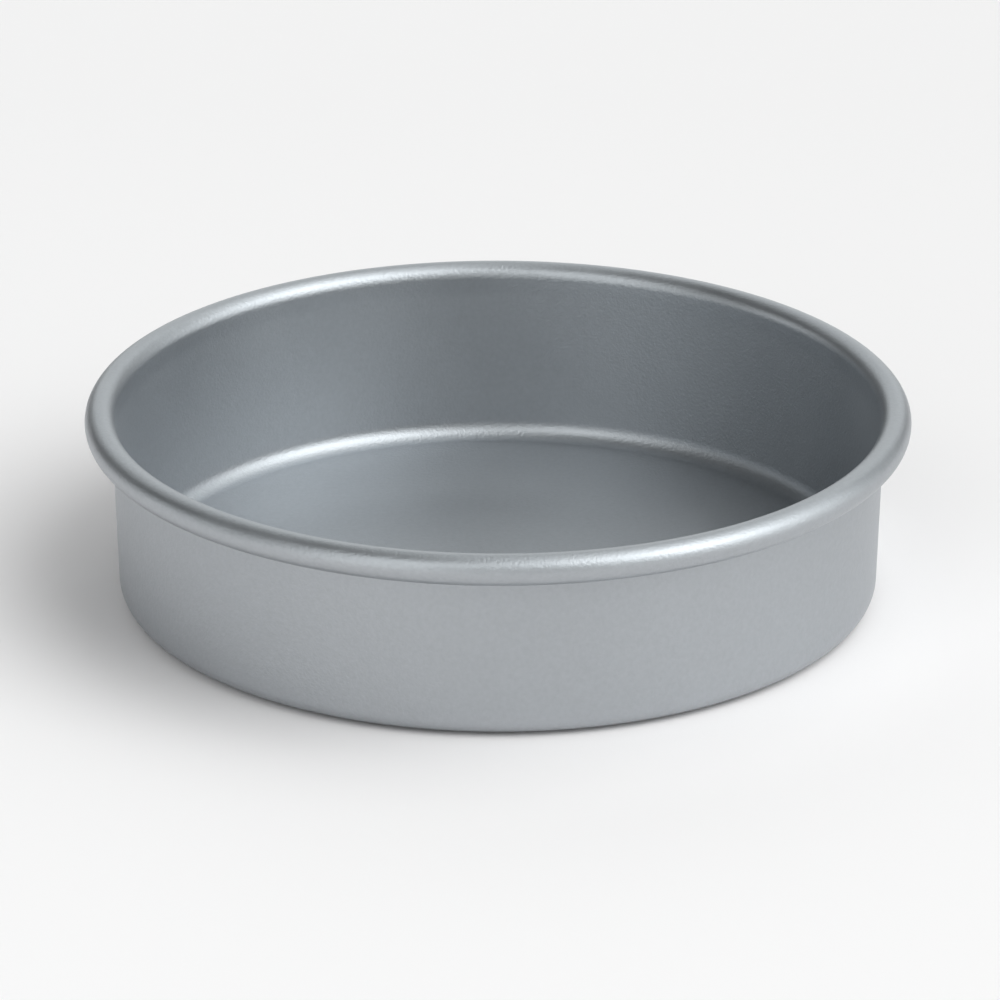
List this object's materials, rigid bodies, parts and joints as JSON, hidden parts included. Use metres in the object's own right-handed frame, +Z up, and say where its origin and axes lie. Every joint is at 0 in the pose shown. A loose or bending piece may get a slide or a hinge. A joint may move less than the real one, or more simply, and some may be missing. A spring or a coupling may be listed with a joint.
{
  "type": "round cake tin",
  "caption": "Round baking tin with a slightly crowned floor, rounded foot, slightly flared wall and a thick rolled rim stiffened by a hidden wire hoop.",
  "frame": {"origin": "middle of the tin's underside, on the surface that it stands on", "axes": "+Z up out of the mouth, along the tin's axis; the wire's butt joint is at +Y"},
  "size_m": [0.2194, 0.2194, 0.0527],
  "materials": {
    "silver_coat": "satin silver-grey metallic coat with a fine grain",
    "wire_steel": "drawn steel wire"
  },
  "bodies": {
    "root": {"tin_shell": "silver_coat", "rim_wire": "wire_steel"}
  },
  "joints": []
}
